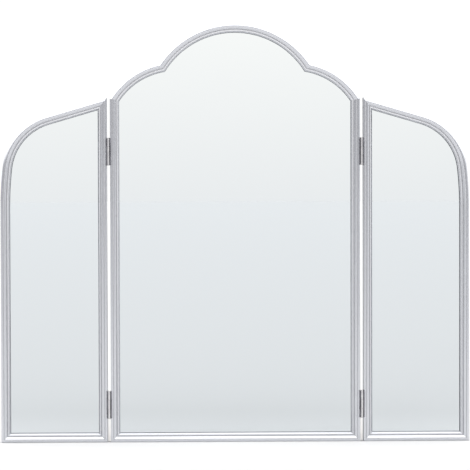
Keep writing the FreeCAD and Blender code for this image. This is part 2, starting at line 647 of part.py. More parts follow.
def hinge_leaf(label, rise, moving):
    """One leaf: a plate on the stile's side face, curled into its knuckles round the pin.

    The fixed leaf's plate lies on the axis's +X side and the moving leaf's on its -X side.
    """
    body = hinge_body(label, rise)
    side = -1 if moving else 1
    outside, inside = size("panel_gap") / 2, size("panel_gap") / 2 - size("leaf_thickness")

    plate = new_sketch(body, label + "_plate", "XY_Plane")
    corners = [(side * inside, 0), (side * outside, 0),
               (side * outside, size("leaf_depth")), (side * inside, size("leaf_depth"))]
    edges = add_polygon(plate, corners)
    level(plate, [edges[0], edges[2]], [edges[1], edges[3]])
    plate.addConstraint(Sketcher.Constraint("PointOnObject", edges[0], 1, -1))
    sideways(plate, "outside", edges[1], 1, side, "Sizes.panel_gap / 2")
    sideways(plate, "inside", edges[0], 1, side, "Sizes.panel_gap / 2 - Sizes.leaf_thickness")
    dimension(plate, "leaf_depth", "DistanceY", (-1, 1, edges[2], 1), "Sizes.leaf_depth")
    pad(body, plate, label + "_plate_pad", "Sizes.hinge_length", side_type="Symmetric")

    for name, expression in (("barrel", "Sizes.barrel_diameter / 2"),
                             ("bore", "Sizes.pin_diameter / 2 + Sizes.pin_clearance")):
        ring = new_sketch(body, f"{label}_{name}", "XY_Plane")
        radius = float(ring.evalExpression(expression))
        circle = ring.addGeometry(Part.Circle(Vector(0, 0, 0), Vector(0, 0, 1), radius))
        ring.addConstraint(Sketcher.Constraint("Coincident", circle, 3, -1, 1))
        dimension(ring, "radius", "Radius", (circle,), expression)
        if name == "barrel":
            pad(body, ring, label + "_barrel_pad", "Sizes.hinge_length", side_type="Symmetric")
        else:
            pocket_through(body, ring, label + "_bore_cut")

    notches = new_sketch(body, label + "_notches", "YZ_Plane")
    front, rear = -size("barrel_diameter"), size("barrel_diameter") / 2 + size("knuckle_gap")
    for bottom, top in knuckle_spans(not moving):
        low, high = bottom - size("knuckle_gap"), top + size("knuckle_gap")
        add_polygon(notches, [(front, low), (rear, low), (rear, high), (front, high)])
    pocket_through(body, notches, label + "_notch_cut")
    return body


def hinge_pin(label, rise):
    body = hinge_body(label, rise)
    section = new_sketch(body, label + "_section", "XY_Plane")
    circle = section.addGeometry(Part.Circle(Vector(0, 0, 0), Vector(0, 0, 1), size("pin_diameter") / 2))
    section.addConstraint(Sketcher.Constraint("Coincident", circle, 3, -1, 1))
    dimension(section, "diameter", "Radius", (circle,), "Sizes.pin_diameter / 2")
    pad(body, section, label + "_shank", "Sizes.hinge_length + 2 * Sizes.pin_end",
        side_type="Symmetric")
    return body


# ---------------------------------------------------------------- assembly

def build():
    nodes = []
    bottom_rail, stile, top = centre_frame()
    nodes += [bottom_rail, stile, mirrored(stile, "center_right_stile"), top]
    nodes += sheet_stack("center", centre_outline)

    wing = list(wing_frame("left_wing")) + sheet_stack("left_wing", wing_outline)
    nodes += wing
    nodes += [mirrored(piece, piece.Label.replace("left", "right")) for piece in wing]

    for height, rise in HINGE_RISES.items():
        for source in (hinge_leaf(f"left_{height}_fixed_leaf", rise, False),
                       hinge_leaf(f"left_{height}_moving_leaf", rise, True),
                       hinge_pin(f"left_{height}_hinge_pin", rise)):
            nodes += [source, mirrored(source, source.Label.replace("left", "right"))]

    tab = tab_blank()
    DOC.recompute()
    nodes.append(tab_group("center_backing_tabs", tab, centre_tab_stations()))
    wing_tabs = tab_group("left_wing_backing_tabs", tab, wing_tab_stations())
    nodes += [wing_tabs, mirrored(wing_tabs, "right_wing_backing_tabs")]
    DOC.recompute()
    return nodes


def check_and_export(nodes):
    broken = [item.Label for item in DOC.Objects if {"Invalid", "Error"} & set(item.State)]
    if broken:
        raise RuntimeError("failed objects: " + ", ".join(broken))
    for node in nodes:
        if node.Shape.isNull() or not node.Shape.isValid():
            raise RuntimeError("bad shape: " + node.Label)
    os.makedirs("parts", exist_ok=True)
    for node in nodes:
        node.Shape.exportStep(f"parts/{node.Label}.step")
        box = node.Shape.BoundBox
        print(f"{node.Label:32s} solids {len(node.Shape.Solids):2d}  volume {node.Shape.Volume:10.1f}  "
              f"x {box.XMin:8.2f} {box.XMax:8.2f}  y {box.YMin:7.2f} {box.YMax:7.2f}  "
              f"z {box.ZMin:7.2f} {box.ZMax:7.2f}")


check_and_export(build())
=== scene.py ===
import json
import math

import bmesh
import bpy
import numpy as np
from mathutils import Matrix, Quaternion, Vector

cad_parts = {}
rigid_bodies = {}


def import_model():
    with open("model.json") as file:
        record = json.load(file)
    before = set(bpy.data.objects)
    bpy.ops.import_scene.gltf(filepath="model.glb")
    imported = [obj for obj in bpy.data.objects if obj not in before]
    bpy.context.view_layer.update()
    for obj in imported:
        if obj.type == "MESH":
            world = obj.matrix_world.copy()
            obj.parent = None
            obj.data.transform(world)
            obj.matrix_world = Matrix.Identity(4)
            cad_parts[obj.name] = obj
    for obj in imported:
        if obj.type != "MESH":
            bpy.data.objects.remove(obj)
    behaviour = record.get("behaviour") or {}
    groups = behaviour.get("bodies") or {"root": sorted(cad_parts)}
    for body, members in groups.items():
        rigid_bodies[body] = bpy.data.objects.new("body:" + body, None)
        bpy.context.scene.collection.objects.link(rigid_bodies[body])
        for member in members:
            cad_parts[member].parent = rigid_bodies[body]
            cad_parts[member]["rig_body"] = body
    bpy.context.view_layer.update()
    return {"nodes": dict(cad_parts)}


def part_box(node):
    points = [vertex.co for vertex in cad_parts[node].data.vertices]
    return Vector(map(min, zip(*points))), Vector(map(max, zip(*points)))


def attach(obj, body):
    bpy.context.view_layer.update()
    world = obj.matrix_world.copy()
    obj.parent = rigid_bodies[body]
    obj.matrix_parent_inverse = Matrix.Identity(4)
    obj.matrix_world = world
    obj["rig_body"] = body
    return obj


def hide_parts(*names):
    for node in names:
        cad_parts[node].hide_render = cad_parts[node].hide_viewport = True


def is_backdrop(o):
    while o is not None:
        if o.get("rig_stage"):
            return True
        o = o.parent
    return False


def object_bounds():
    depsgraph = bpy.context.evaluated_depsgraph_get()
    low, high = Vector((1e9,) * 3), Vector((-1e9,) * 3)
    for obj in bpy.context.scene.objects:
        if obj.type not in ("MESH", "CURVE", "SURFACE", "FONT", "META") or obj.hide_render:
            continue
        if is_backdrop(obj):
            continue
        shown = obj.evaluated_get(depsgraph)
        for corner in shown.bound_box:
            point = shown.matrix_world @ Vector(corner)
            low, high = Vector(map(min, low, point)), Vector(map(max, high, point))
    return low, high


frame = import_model()

# ------------------------------------------------------------------ viewpoint
# A long lens stands three metres off and a little to the left, level with the middle of the hinges,
# and looks slightly down at the middle of the mirror.
lens_length = 164.8
camera_place = Vector((-0.060, -3.0, 0.360))
camera_aim = Vector((-0.0005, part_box("center_bottom_rail")[0][1], 0.2886))
camera_roll = math.radians(-0.15)

lens = bpy.data.cameras.new("viewpoint")
lens.lens = lens_length
viewpoint = bpy.data.objects.new("viewpoint", lens)
viewpoint.location = camera_place
camera_turn = (camera_aim - camera_place).to_track_quat("-Z", "Y") @ Quaternion((0, 0, 1), camera_roll)
viewpoint.rotation_euler = camera_turn.to_euler()
bpy.context.scene.collection.objects.link(viewpoint)
bpy.context.scene.camera = viewpoint
bpy.context.scene.view_settings.view_transform = "Standard"


# ------------------------------------------------------------------ studio
# A pale studio: a white backdrop, bright walls to the right and behind the viewpoint, a dimmer wall to
# the left, darker corners in front and a broad soft light overhead. The white floor carries painted
# light and shade: a painted light patch under the mirror, painted shade that whitens with distance,
# and pale grey painted shade in its two front corners.
left_wall = (0.75, 0.75, 0.76)
right_wall = (1.35, 1.35, 1.36)
corner_wall = (0.52, 0.52, 0.53)
backdrop = (1.06, 1.06, 1.06)
front_foot, front_rise = (1.10, 1.10, 1.11), (1.40, 1.37, 1.32)
softbox = (2.2, 2.2, 2.2)
rear_ceiling = (1.7, 1.7, 1.7)
side_blend, corner_blend, backdrop_blend = (-0.3, 0.3), (0.3, 0.6), (-0.15, 0.05)
front_blend, ceiling_blend, sky_blend = (0.95, 0.985), (-0.1, 0.4), (0.1, 0.4)
front_slope = 7.2                   # how fast the wall behind the viewpoint brightens upwards
floor_radius = 40.0
# Painted light and shade on the floor: darker near the mirror and whiter far off, a painted light patch at
# the mirror's foot and grey painted shade in the front corners.
floor_near, floor_far = (0.52, 0.52, 0.52), (0.60, 0.60, 0.60)
floor_painted_light, floor_shade = (0.66, 0.66, 0.66), (0.40, 0.40, 0.405)
far_rise, far_start = 0.45, 0.35                     # how fast the painted shade near the mirror gives way to the far white, per tenfold distance and at 1 m
foot_reach, foot_narrowing = 0.45, 0.4               # the painted light patch under the mirror
shade_reach, shade_end = (1.2, 3.0), (0.92, 0.965)   # how far off the grey painted shade starts, and where it ends


class Wire:
    """One output of a shader node, on which arithmetic adds Math nodes to the same tree."""

    def __init__(self, tree, socket):
        self.tree, self.socket = tree, socket

    def math(self, operation, *values):
        return add_node(self.tree, "ShaderNodeMath", {"operation": operation}, dict(enumerate(values)))

    def __add__(self, other):
        return self.math("ADD", self, other)

    def __sub__(self, other):
        return self.math("SUBTRACT", self, other)

    def __rsub__(self, other):
        return self.math("SUBTRACT", other, self)

    def __mul__(self, other):
        return self.math("MULTIPLY", self, other)

    __radd__ = __add__
    __rmul__ = __mul__

    def between(self, low, high):
        """0 below low, 1 above high and an S-shaped rise between them."""
        return add_node(self.tree, "ShaderNodeMapRange", {"interpolation_type": "SMOOTHSTEP"},
                        {0: self, 1: low, 2: high})


def add_node(tree, kind, settings=None, inputs=None, output=0):
    """Adds a node: first its settings, then the value or link of each input."""
    node = tree.nodes.new(kind)
    for name, value in (settings or {}).items():
        setattr(node, name, value)
    for name, value in (inputs or {}).items():
        if isinstance(value, Wire):
            tree.links.new(value.socket, node.inputs[name])
        elif isinstance(value, tuple) and node.inputs[name].type == "RGBA":
            node.inputs[name].default_value = (*value, 1.0)
        else:
            node.inputs[name].default_value = value
    return Wire(tree, node.outputs[output])


def mix_colours(factor, first, second):
    """Goes from the first colour at factor 0 to the second at factor 1."""
    return add_node(factor.tree, "ShaderNodeMix", {"data_type": "RGBA"}, {0: factor, 6: first, 7: second}, 2)


def axis_of(place, name):
    """One of a place's three coordinates: X, Y or Z."""
    return add_node(place.tree, "ShaderNodeSeparateXYZ", None, {0: place}, name)


def length_of(place):
    """How far a place lies from the origin."""
    return add_node(place.tree, "ShaderNodeVectorMath", {"operation": "LENGTH"}, {0: place}, "Value")


def stretched(place, x, y, z):
    """The place with each coordinate times its own factor, which draws out the pattern laid on it."""
    factors = Vector((x, y, z))
    return add_node(place.tree, "ShaderNodeVectorMath", {"operation": "MULTIPLY"}, {0: place, 1: factors})


def noise(place, scale=1.0, detail=2.0):
    """Cloudy noise from 0 to 1, with scale clouds to a metre and detail finer layers."""
    inputs = {"Vector": place, "Scale": scale, "Detail": detail}
    return add_node(place.tree, "ShaderNodeTexNoise", None, inputs, "Fac")


def new_material(name):
    """A material, its emptied tree, and the object's own coordinates in it."""
    material = bpy.data.materials.new(name)
    material.use_nodes = True
    tree = material.node_tree
    tree.nodes.clear()
    return material, tree, add_node(tree, "ShaderNodeTexCoord", output="Object")


def surface(tree, inputs):
    """Ends the tree in a Principled surface with these inputs."""
    shader = add_node(tree, "ShaderNodeBsdfPrincipled", None, inputs)
    tree.links.new(shader.socket, tree.nodes.new("ShaderNodeOutputMaterial").inputs["Surface"])


def ring_faces(rings, around):
    """Quads between rings of points that each close on themselves, and the two end faces."""
    index = np.arange(rings * around).reshape(rings, around)
    beside = np.roll(index, -1, axis=1)
    quads = np.stack([index[:-1], beside[:-1], beside[1:], index[1:]], axis=-1).reshape(-1, 4)
    return quads, [index[0, ::-1], index[-1]]


def studio_world():
    """Brightness by direction: ahead is +Y, so the backdrop has ahead above 0 and the front wall near -1.

    Each blend is the pair of values between which one brightness gives way to the next.
    """
    world = bpy.data.worlds.new("studio")
    world.use_nodes = True
    tree = world.node_tree
    tree.nodes.clear()
    outlook = add_node(tree, "ShaderNodeTexCoord", output="Generated")
    across, ahead, up = (axis_of(outlook, name) for name in "XYZ")
    colour = mix_colours(across.between(*side_blend), left_wall, right_wall)
    colour = mix_colours((0 - ahead).between(*corner_blend), colour, corner_wall)
    colour = mix_colours(ahead.between(*backdrop_blend), colour, backdrop)
    front = mix_colours(up * front_slope + 0.5, front_foot, front_rise)
    colour = mix_colours((0 - ahead).between(*front_blend), colour, front)
    overhead = mix_colours(ahead.between(*ceiling_blend), softbox, rear_ceiling)
    colour = mix_colours(up.between(*sky_blend), colour, overhead)
    light = add_node(tree, "ShaderNodeBackground", None, {"Color": colour, "Strength": 1.0})
    tree.links.new(light.socket, tree.nodes.new("ShaderNodeOutputWorld").inputs["Surface"])
    bpy.context.scene.world = world


def studio_floor():
    """A flat disc at z 0, drawn as rings of points at radius r and angle a: (r cos a, r sin a).

    Its colour is painted shade that whitens with the logarithm of the distance, with a patch of
    painted light close to the mirror. The grey painted shade lies between the sides and the line of sight.
    """
    turns = np.linspace(0, 2 * np.pi, 65)[:-1]
    radius, angle = np.meshgrid([floor_radius, 5.0, 1.0, 0.01], turns, indexing="ij")
    points = np.stack([radius * np.cos(angle), radius * np.sin(angle), 0 * radius], axis=-1)
    quads, ends = ring_faces(*radius.shape)
    mesh = bpy.data.meshes.new("studio_floor")
    mesh.from_pydata(points.reshape(-1, 3), [], quads.tolist() + [ends[1].tolist()])
    floor = bpy.data.objects.new("studio_floor", mesh)
    bpy.context.scene.collection.objects.link(floor)
    material, tree, place = new_material("white_floor")
    reach, close = length_of(place), length_of(stretched(place, foot_narrowing, 1, 1))
    # painted shade near the mirror that whitens with the distance
    distance = reach.math("LOGARITHM", reach, 10.0) * far_rise + far_start + noise(place, scale=3.0) * 0.02
    colour = mix_colours(distance, floor_near, floor_far)
    # painted light at the mirror's foot, where its contact shadow falls
    colour = mix_colours(close.between(0.0, foot_reach), floor_painted_light, colour)
    heading = add_node(tree, "ShaderNodeVectorMath", {"operation": "NORMALIZE"}, {0: place})
    frontward = 0 - axis_of(heading, "Y")
    corner = frontward.between(*corner_blend) * (1 - frontward.between(*shade_end))
    # grey painted shade in the two front corners
    colour = mix_colours(corner * reach.between(*shade_reach), colour, floor_shade)
    surface(tree, {"Base Color": colour, "Roughness": 0.9})
    mesh.materials.append(material)
    floor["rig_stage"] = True


studio_world()
studio_floor()

# ------------------------------------------------------------------ centre panel's frame
# Beaded hollow moulding of drawn aluminium with a satin silver finish: two stiles and a bottom rail,
# mitred, and a scalloped top that is formed in one piece from crown and shoulder arches. A fine line
# is rolled along the crest of its bead.
MM = 0.001                          # in metres
panel_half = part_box("center_bottom_rail")[1][0]
stile_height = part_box("center_left_stile")[1][2]
crown_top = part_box("center_scalloped_top")[1][2]
frame_front, frame_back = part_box("center_bottom_rail")[0][1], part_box("center_bottom_rail")[1][1]
crown_radius = 127 * MM
shoulder_radius = 107 * MM
cusp_half = 105 * MM
bead_width, bead_rise = 7.8 * MM, 1.5 * MM
line_half, line_radius, line_sink = 0.55 * MM, 0.42 * MM, 0.32 * MM
groove_end, groove_floor = 9.2 * MM, 3.2 * MM
lip_front, lip_turn = 1.9 * MM, 10.7 * MM
sight_edge, bevel_end = 12.5 * MM, 3.7 * MM
rebate_wall, seat = 9.0 * MM, 7.5 * MM
frame_depth = frame_back - frame_front
seam = 0.15 * MM                    # small round at the sawn end of each member
silver_light, silver_dark = (0.66, 0.67, 0.705), (0.58, 0.59, 0.625)
# Painted shade: a dark grey laid into the groove, the crest line, the bevel, the outer edge, the side and
# back walls and the rebate round the pane, where shade falls.
painted_shade_grey = (0.13, 0.13, 0.145)
groove_shade, line_shade, bevel_shade = 0.45, 0.5, 0.3           # how much painted shade each part gets
edge_shade, side_shade, back_shade, rebate_shade = 0.6, 1.0, 0.5, 1.3


def moulding_section():
    """Closed section as points (inset, depth), outward normals and the painted shade that each point gets.

    It is a chain of arcs, each a centre, a radius, a first and last angle, a sign that is -1 for a
    hollow corner and a number of points. The flats are the gaps between one arc and the next.
    """
    half = bead_width / 2
    radius = (half ** 2 + bead_rise ** 2) / (2 * bead_rise)
    lip_soft, soft, crisp, tight = 0.8 * MM, 0.6 * MM, 0.35 * MM, 0.15 * MM
    corner_share = math.tan(math.radians(45 / 2))       # of its radius, that a round takes at the bevel

    def bead_edge(round_off):
        """Depth of a round that runs from a side wall into the bead, and the bead's angle there."""
        across = half - round_off
        rise = math.sqrt((radius - round_off) ** 2 - across ** 2)
        return radius - rise, math.degrees(math.atan2(across, rise))

    outer_depth, outer_turn = bead_edge(soft)
    inner_depth, inner_turn = bead_edge(crisp)
    line_turn = math.degrees(math.asin(line_half / radius))
    lip_reach, edge_reach = lip_soft * corner_share, crisp * corner_share
    arcs = [
        (crisp, frame_depth - crisp, crisp, 90, 180, 1, 5),
        (soft, outer_depth, soft, 180, 270 - outer_turn, 1, 7),
        (half, radius, radius, 270 - outer_turn, 270 - line_turn, 1, 14),
        (half, line_sink - line_radius, line_radius, 150, 30, -1, 9),
        (half, radius, radius, 270 + line_turn, 270 + inner_turn, 1, 14),
        (bead_width - crisp, inner_depth, crisp, 270 + inner_turn, 360, 1, 6),
        (bead_width + crisp, groove_floor - crisp, crisp, 180, 90, -1, 5),
        (groove_end - crisp, groove_floor - crisp, crisp, 90, 0, -1, 5),
        (groove_end + crisp, lip_front + crisp, crisp, 180, 270, 1, 6),
        (lip_turn - lip_reach, lip_front + lip_soft, lip_soft, 270, 315, 1, 5),
        (sight_edge - crisp, bevel_end + edge_reach, crisp, 315, 360, 1, 5),
        (sight_edge - tight, seat - tight, tight, 0, 90, 1, 4),
        (rebate_wall + tight, seat + tight, tight, 270, 180, -1, 4),
        (rebate_wall - crisp, frame_depth - crisp, crisp, 0, 90, 1, 5),
    ]
    points, normals = [], []
    for across, depth, size, first, last, sign, count in arcs:
        angle = np.radians(np.linspace(first, last, count))
        ray = np.stack([np.cos(angle), np.sin(angle)], axis=-1)
        points.append((across, depth) + size * ray)
        normals.append(sign * ray)
    points, normals = np.concatenate(points), np.concatenate(normals)
    inset, depth = points.T
    in_groove = (inset > bead_width - crisp) & (inset < groove_end + crisp / 2)
    # painted shade for the section's hollows and walls, where shade falls
    painted_shade = np.where(in_groove & (depth > lip_front), groove_shade, 0.0)
    painted_shade[np.abs(inset - half) < line_radius] = line_shade
    painted_shade[(inset < soft * 0.7) & (depth > tight)] = edge_shade
    painted_shade[(inset < tight) & (depth > bead_rise)] = side_shade
    painted_shade[(inset > lip_turn) & (depth < bevel_end + tight)] = bevel_shade
    painted_shade[depth > seat] = back_shade
    painted_shade[(inset > sight_edge - tight) & (depth > bevel_end + tight)] = rebate_shade
    painted_shade[(inset > rebate_wall + tight) & (depth > seat - tight)] = rebate_shade
    return points, normals, painted_shade


section_points, section_normals, section_shade = moulding_section()


def straight_run(start, end, inward, shares):
    """Rows of an outline between two corners that both depend on the inset. Each is (x, z, inward x, z)."""
    share = np.asarray(shares)[:, None]
    x = start[0] + (end[0] - start[0]) * share
    z = start[1] + (end[1] - start[1]) * share
    return np.stack([x, z, 0 * x + inward[0], 0 * x + inward[1]], axis=-1)


def arc_run(centre, radius, first, last, shares):
    """Rows on circles about a centre: radius and end angles are arrays over the insets."""
    angle = first + (last - first) * np.asarray(shares)[:, None] + 0 * radius
    x, z = centre[0] + radius * np.cos(angle), centre[1] + radius * np.sin(angle)
    return np.stack([x, z, -np.cos(angle), -np.sin(angle)], axis=-1)


def bearing(centre, point):
    """Angle of a point seen from a centre, from 0 to 2 pi."""
    return np.arctan2(point[1] - centre[1], point[0] - centre[0]) % (2 * np.pi)


def direction(angle):
    """The step (x, z) of length 1 at this angle."""
    return np.array([math.cos(angle), math.sin(angle)])


def mirror_rows(rows):
    """The same rows on the other side of the middle, in the opposite order."""
    return rows[::-1] * (-1, 1, -1, 1)


crown_centre = (0.0, crown_top - crown_radius)


def shoulder_circle():
    """Centre of the left shoulder arc, from the chord between the cusp and the top of the stile."""
    cusp = np.array([-cusp_half, crown_centre[1] + math.sqrt(crown_radius ** 2 - cusp_half ** 2)])
    foot = np.array([-panel_half, stile_height])
    chord = foot - cusp
    drop = math.sqrt(shoulder_radius ** 2 - chord.dot(chord) / 4)
    inward = np.array([-chord[1], chord[0]]) / np.linalg.norm(chord)
    return (cusp + foot) / 2 + inward * drop


shoulder_centre = shoulder_circle()


def centre_corners(inset):
    """Left bottom corner, top of the left stile and left cusp of the outline at each inset."""
    side = inset - panel_half
    crown, shoulder = crown_radius - inset, shoulder_radius - inset
    rise = np.sqrt(shoulder ** 2 - (side - shoulder_centre[0]) ** 2)
    link = np.array(crown_centre) - shoulder_centre
    length = np.linalg.norm(link)
    unit = link / length
    along = (shoulder ** 2 - crown ** 2 + length ** 2) / (2 * length)
    aside = np.sqrt(shoulder ** 2 - along ** 2)
    cusp = (shoulder_centre[0] + unit[0] * along - unit[1] * aside,
            shoulder_centre[1] + unit[1] * along + unit[0] * aside)
    return (side, inset), (side, shoulder_centre[1] + rise), cusp


def shoulder_run(inset, shares):
    """The left shoulder at each inset, from the top of the stile to the cusp."""
    stile_top, cusp = centre_corners(inset)[1:]
    return arc_run(shoulder_centre, shoulder_radius - inset, bearing(shoulder_centre, stile_top),
                   bearing(shoulder_centre, cusp), shares)


def ends_and(count, edge):
    """Shares from 0 to 1 with an extra step close to each end."""
    return np.concatenate([[0.0], np.linspace(edge, 1 - edge, count), [1.0]])


def sweep_member(name, rows, node):
    """Carries the moulding section along rows of outline points, and closes both sawn ends.

    Row i, section point j lies at the outline point of that point's inset, set back by its depth.
    The first and last rows are drawn in by the seam, so that a joint shows as a fine line.
    """
    depth = frame_front + section_points[:, 1]
    points = np.stack([rows[..., 0], np.broadcast_to(depth, rows.shape[:2]), rows[..., 1]], axis=-1)
    inward = rows[..., 2:] * section_normals[:, :1]
    back = np.broadcast_to(section_normals[:, 1], rows.shape[:2])
    normals = np.stack([inward[..., 0], back, inward[..., 1]], axis=-1)
    points[[0, -1]] -= seam * normals[[0, -1]]
    count, around = rows.shape[:2]
    quads, caps = ring_faces(count, around)
    facing = np.cross(points[1, 1] - points[1, 0], points[2, 0] - points[1, 0])
    if facing.dot(normals[1, 0]) < 0:
        quads, caps = quads[:, ::-1], [cap[::-1] for cap in caps]
    mesh = bpy.data.meshes.new(name)
    mesh.from_pydata(points.reshape(-1, 3), [], quads.tolist() + [cap.tolist() for cap in caps])
    mesh.polygons.foreach_set("use_smooth", np.ones(len(mesh.polygons), bool))
    ends = [np.array(mesh.polygons[k].normal) for k in (-2, -1)]
    loops = np.concatenate([normals.reshape(-1, 3)[quads.ravel()], np.repeat(ends, around, axis=0)])
    along = np.concatenate([[0], np.cumsum(np.linalg.norm(np.diff(points[:, 0], axis=0), axis=1))])
    round_it = np.concatenate([[0], np.cumsum(np.linalg.norm(np.diff(section_points, axis=0), axis=1))])
    sweep = np.stack(np.broadcast_arrays(along[:, None], round_it[None]), axis=-1).reshape(-1, 2)
    corners = np.concatenate([quads.ravel(), *caps])
    mesh.uv_layers.new(name="sweep").data.foreach_set("uv", sweep[corners].astype(np.float32).ravel())
    # each section point's painted shade, read by the material
    painted_shade = mesh.attributes.new("painted_shade", "FLOAT", "POINT")
    painted_shade.data.foreach_set("value", np.tile(section_shade, count).astype(np.float32))
    mesh.normals_split_custom_set(loops.tolist())
    piece = bpy.data.objects.new(name, mesh)
    bpy.context.scene.collection.objects.link(piece)
    mesh.materials.append(satin_silver)
    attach(piece, frame["nodes"][node]["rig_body"])
    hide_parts(node)


def bump(height, strength, distance):
    """Tilts the surface as this height would."""
    inputs = {"Height": height, "Strength": strength, "Distance": distance}
    return add_node(height.tree, "ShaderNodeBump", None, inputs)


def make_satin_silver():
    """Fine streaks along the moulding, a faint cloudiness, and painted shade in its hollows and on its
    walls.
    """
    material, tree, place = new_material("satin_silver")
    sweep = add_node(tree, "ShaderNodeUVMap", {"uv_map": "sweep"})
    streak = noise(stretched(sweep, 6.0, 2600.0, 0.0), detail=3.0)
    cloud, grain = noise(place, scale=22.0, detail=4.0), noise(place, scale=1400.0)
    painted_shade = add_node(tree, "ShaderNodeAttribute", {"attribute_name": "painted_shade"}, output="Fac")
    colour = mix_colours(streak * 0.6 + cloud * 0.4, silver_dark, silver_light)
    # painted shade: the dark grey where shade falls in the hollows and on the walls
    colour = mix_colours(painted_shade * (0.6 + cloud * 0.3), colour, painted_shade_grey)
    surface(tree, {"Base Color": colour, "Metallic": 1.0,
                   "Normal": bump(streak * 0.7 + grain * 0.3, strength=0.02, distance=0.00004),
                   "Roughness": 0.15 + cloud * 0.04 + streak * 0.03 + painted_shade * 0.2})
    return material


satin_silver = make_satin_silver()
section_inset = section_points[:, 0]
bottom, stile_top, cusp = centre_corners(section_inset)
bottom_right = (-bottom[0], bottom[1])
straight_shares = ends_and(count=5, edge=0.0006)
sweep_member("bottom_rail_moulding", straight_run(bottom, bottom_right, (0, 1), straight_shares),
             "center_bottom_rail")
left_stile = straight_run(bottom, stile_top, (1, 0), straight_shares)
sweep_member("left_stile_moulding", left_stile, "center_left_stile")
sweep_member("right_stile_moulding", mirror_rows(left_stile), "center_right_stile")
shoulder = shoulder_run(section_inset, ends_and(count=29, edge=0.002))
crown = arc_run(crown_centre, crown_radius - section_inset, bearing(crown_centre, cusp),
                np.pi - bearing(crown_centre, cusp), ends_and(count=61, edge=0.001))
sweep_member("scalloped_top_moulding", np.concatenate([shoulder[:-1], crown[:-1], mirror_rows(shoulder)]),
             "center_scalloped_top")

# ------------------------------------------------------------------ wings' frames
# The same moulding: a bottom rail, a hinge stile, and a bow that is the outer side and the rounded,
# sloping top bent from one length.
wing_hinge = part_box("left_wing_bottom_rail")[1][0]
wing_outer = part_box("left_wing_bottom_rail")[0][0]
wing_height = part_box("left_wing_hinge_stile")[1][2]
wing_slope = math.radians(16.3)
bow_radius = 85 * MM
bow_lean = math.radians(6.5)
side_radius = 500 * MM
bend_start, bend_end = math.pi - bow_lean, math.pi / 2 + wing_slope


def bow_circles():
    """Centres of the bend between top and side, and of the slow curve below it."""
    side = np.array([wing_outer + side_radius, 0.0])
    bow = side + (side_radius - bow_radius) * direction(bend_start)
    touch = bow + bow_radius * direction(bend_end)
    top = wing_height - (wing_hinge - touch[0]) * math.tan(wing_slope)
    lift = np.array([0.0, top - touch[1]])
    return bow + lift, side + lift


bow_centre, side_centre = bow_circles()


def wing_corners(inset):
    """Outer bottom corner, top of the straight side, and the hinge stile's foot and head at each inset."""
    outer, hinge = wing_outer + inset, wing_hinge - inset
    head = wing_height - inset * (math.tan(wing_slope) + 1 / math.cos(wing_slope))
    return (outer, inset), (outer, side_centre[1] + 0 * inset), (hinge, inset), (hinge, head)


wing_corner, side_end, hinge_foot, hinge_head = wing_corners(section_inset)
slope_start = bow_centre[:, None] + direction(bend_end)[:, None] * (bow_radius - section_inset)
even = np.linspace(0, 1, 41)
bow_rows = np.concatenate([
    straight_run(wing_corner, side_end, (1, 0), straight_shares)[:-1],
    arc_run(side_centre, side_radius - section_inset, np.pi, bend_start, even[::2])[:-1],
    arc_run(bow_centre, bow_radius - section_inset, bend_start, bend_end, even)[:-1],
    straight_run(slope_start, hinge_head, -direction(bend_end), ends_and(count=5, edge=0.0012)),
])
wing_rail = straight_run(wing_corner, hinge_foot, (0, 1), straight_shares)
wing_stile = straight_run(hinge_foot, hinge_head, (-1, 0), straight_shares)
for side, flip in (("left", False), ("right", True)):
    for part, rows in (("bottom_rail", wing_rail), ("hinge_stile", wing_stile), ("bow", bow_rows)):
        sweep_member(f"{side}_wing_{part}_moulding", mirror_rows(rows) if flip else rows,
                     f"{side}_wing_{part}")

# ------------------------------------------------------------------ mirror panes
# Three millimetre float glass, silvered on the back and cut square, lying against the moulding's lip.
# Seen through the glass, the silver seems two millimetres down, and the rebate round its edge is painted
# dark as shade.
pane_tint, pane_haze = (0.66, 0.69, 0.71), (0.60, 0.63, 0.65)
silvering, pane_margin = 2.0 * MM, 0.5 * MM
outline_steps = 17                  # points on each curve of an outline
sheet_gap = 0.02 * MM               # left free between one sheet and the next


def make_pane_silver():
    """Clean silvering with the faintest cloud of cleaning haze."""
    material, tree, place = new_material("pane_silver")
    haze = noise(place, scale=7.0, detail=5.0)
    surface(tree, {"Base Color": mix_colours(haze.between(0.55, 0.9) * 0.15, pane_tint, pane_haze),
                   "Metallic": 1.0, "Roughness": haze.between(0.5, 0.9) * 0.02 + 0.01})
    return material


def add_piece(name, points, faces, material, body, nodes=(), round_edge=0.0):
    """Makes a closed piece with outward faces and, where asked, slightly rounded edges."""
    sharp = math.radians(38)                            # a turn of more than this is an edge
    mesh = bpy.data.meshes.new(name)
    mesh.from_pydata(points.reshape(-1, 3), [], [list(map(int, face)) for face in faces])
    shell = bmesh.new()
    shell.from_mesh(mesh)
    bmesh.ops.recalc_face_normals(shell, faces=shell.faces)
    shell.to_mesh(mesh)
    shell.free()
    mesh.polygons.foreach_set("use_smooth", np.ones(len(mesh.polygons), bool))
    mesh.set_sharp_from_angle(angle=sharp)
    mesh.materials.append(material)
    piece = bpy.data.objects.new(name, mesh)
    bpy.context.scene.collection.objects.link(piece)
    if round_edge:
        bevel = piece.modifiers.new("round_edge", "BEVEL")
        bevel.width, bevel.segments, bevel.limit_method = round_edge, 2, "ANGLE"
        bevel.angle_limit, bevel.harden_normals = sharp, True
    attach(piece, body)
    if nodes:
        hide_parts(*nodes)
    return piece


